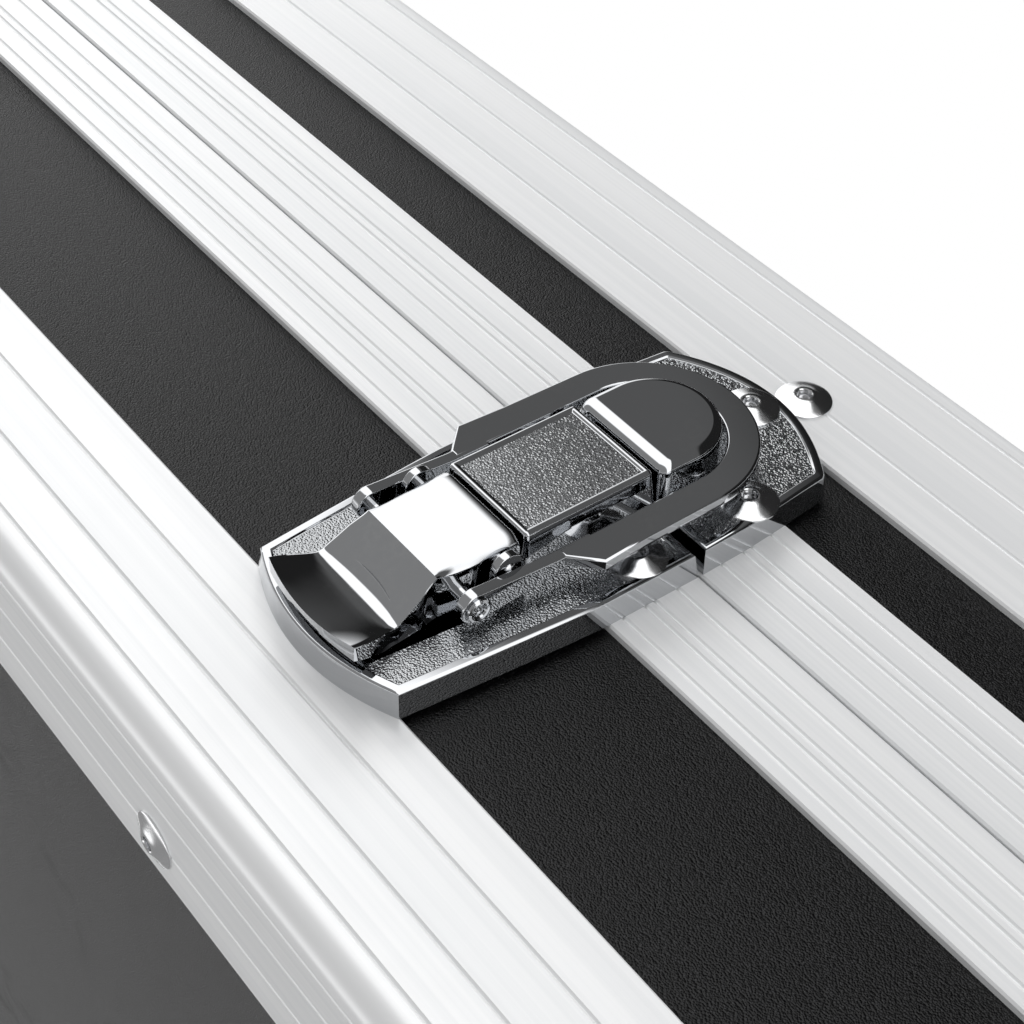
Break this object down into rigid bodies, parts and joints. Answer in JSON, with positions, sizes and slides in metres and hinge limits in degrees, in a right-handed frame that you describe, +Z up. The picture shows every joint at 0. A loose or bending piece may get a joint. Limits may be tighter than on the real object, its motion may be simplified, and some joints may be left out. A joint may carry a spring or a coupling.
{
  "type": "bass guitar case",
  "caption": "Long rectangular hard case for a bass guitar: black boards in aluminium edging, chrome draw latches, folding handle, hinged lid and padded inside.",
  "frame": {"origin": "on the floor under the middle of the whole object's box, case lying flat on its feet", "axes": "+X along the case towards the body end, +Y from the latches to the hinges, +Z up through the lid"},
  "size_m": [1.257, 0.4665, 0.1673],
  "materials": {
    "aluminium_edging": "satin extruded, fine lengthwise grooves",
    "black_laminate": "fine pebbled laminate on plywood",
    "chrome_casting": "polished chrome over die casting, some areas pebbled",
    "chrome_steel": "polished chrome",
    "rivet_metal": "bright aluminium",
    "hinge_steel": "zinc-plated steel",
    "foot_rubber": "moulded rubber",
    "grip_rubber": "moulded grip",
    "plush_padding": "short plush over foam",
    "tray_wood": "stained plywood"
  },
  "bodies": {
    "base": {"base_bottom_panel": "black_laminate", "base_front_panel": "black_laminate", "base_back_panel": "black_laminate", "base_left_panel": "black_laminate", "base_right_panel": "black_laminate", "base_edge_angles": "aluminium_edging", "base_corner_posts": "aluminium_edging", "base_closing_profiles": "aluminium_edging", "base_ball_corners": "chrome_steel", "rubber_feet": "foot_rubber", "foot_screws": "hinge_steel", "base_rivets": "rivet_metal", "base_floor_pad": "plush_padding", "base_wall_pads": "plush_padding", "neck_side_blocks": "plush_padding", "accessory_tray": "tray_wood", "neck_cradle": "plush_padding", "body_end_blocks": "plush_padding", "latch_bases": "chrome_casting", "latch_fulcrum_pins": "chrome_steel", "latch_base_rivets": "rivet_metal", "handle_brackets": "chrome_steel", "hinge_base_leaves": "hinge_steel", "hinge_pins": "hinge_steel"},
    "lid": {"lid_top_panel": "black_laminate", "lid_front_panel": "black_laminate", "lid_back_panel": "black_laminate", "lid_left_panel": "black_laminate", "lid_right_panel": "black_laminate", "lid_edge_angles": "aluminium_edging", "lid_corner_posts": "aluminium_edging", "lid_closing_profiles": "aluminium_edging", "lid_ball_corners": "chrome_steel", "lid_rivets": "rivet_metal", "lid_ceiling_pad": "plush_padding", "lid_wall_pads": "plush_padding", "neck_holddown_pad": "plush_padding", "latch_keepers": "chrome_casting", "latch_keeper_rivets": "rivet_metal", "hinge_lid_leaves": "hinge_steel"},
    "handle": {"handle_rod": "chrome_steel", "handle_grip": "grip_rubber"},
    "latch_1_lever": {"latch_lever_1": "chrome_casting", "latch_link_pin_1": "chrome_steel"},
    "latch_1_hoop": {"latch_hoop_1": "chrome_steel"},
    "latch_2_lever": {"latch_lever_2": "chrome_casting", "latch_link_pin_2": "chrome_steel"},
    "latch_2_hoop": {"latch_hoop_2": "chrome_steel"},
    "latch_3_lever": {"latch_lever_3": "chrome_casting", "latch_link_pin_3": "chrome_steel"},
    "latch_3_hoop": {"latch_hoop_3": "chrome_steel"},
    "latch_4_lever": {"latch_lever_4": "chrome_casting", "latch_link_pin_4": "chrome_steel"},
    "latch_4_hoop": {"latch_hoop_4": "chrome_steel"}
  },
  "joints": [
    {"name": "lid_hinge", "type": "hinge", "parent": "base", "child": "lid", "pos_m": [0, 0.22425, 0.0952], "axis": [-1, 0, 0], "range_deg": [0, 100]},
    {"name": "handle_swing", "type": "hinge", "parent": "base", "child": "handle", "pos_m": [0, -0.22275, 0.0682], "axis": [-1, 0, 0], "range_deg": [0, 90]},
    {"name": "latch_1_lever_turn", "type": "hinge", "parent": "base", "child": "latch_1_lever", "pos_m": [-0.455, -0.22075, 0.0666], "axis": [-1, 0, 0], "range_deg": [0, 100]},
    {"name": "latch_1_hoop_turn", "type": "hinge", "parent": "latch_1_lever", "child": "latch_1_hoop", "pos_m": [-0.455, -0.21915, 0.0592], "axis": [-1, 0, 0], "range_deg": [-100, 0]},
    {"name": "latch_2_lever_turn", "type": "hinge", "parent": "base", "child": "latch_2_lever", "pos_m": [-0.165, -0.22075, 0.0666], "axis": [-1, 0, 0], "range_deg": [0, 100]},
    {"name": "latch_2_hoop_turn", "type": "hinge", "parent": "latch_2_lever", "child": "latch_2_hoop", "pos_m": [-0.165, -0.21915, 0.0592], "axis": [-1, 0, 0], "range_deg": [-100, 0]},
    {"name": "latch_3_lever_turn", "type": "hinge", "parent": "base", "child": "latch_3_lever", "pos_m": [0.165, -0.22075, 0.0666], "axis": [-1, 0, 0], "range_deg": [0, 100]},
    {"name": "latch_3_hoop_turn", "type": "hinge", "parent": "latch_3_lever", "child": "latch_3_hoop", "pos_m": [0.165, -0.21915, 0.0592], "axis": [-1, 0, 0], "range_deg": [-100, 0]},
    {"name": "latch_4_lever_turn", "type": "hinge", "parent": "base", "child": "latch_4_lever", "pos_m": [0.455, -0.22075, 0.0666], "axis": [-1, 0, 0], "range_deg": [0, 100]},
    {"name": "latch_4_hoop_turn", "type": "hinge", "parent": "latch_4_lever", "child": "latch_4_hoop", "pos_m": [0.455, -0.21915, 0.0592], "axis": [-1, 0, 0], "range_deg": [-100, 0]}
  ],
  "couplings": [
    {"joint": "latch_1_hoop_turn", "follows": "latch_1_lever_turn", "ratio": -1},
    {"joint": "latch_2_hoop_turn", "follows": "latch_2_lever_turn", "ratio": -1},
    {"joint": "latch_3_hoop_turn", "follows": "latch_3_lever_turn", "ratio": -1},
    {"joint": "latch_4_hoop_turn", "follows": "latch_4_lever_turn", "ratio": -1}
  ]
}
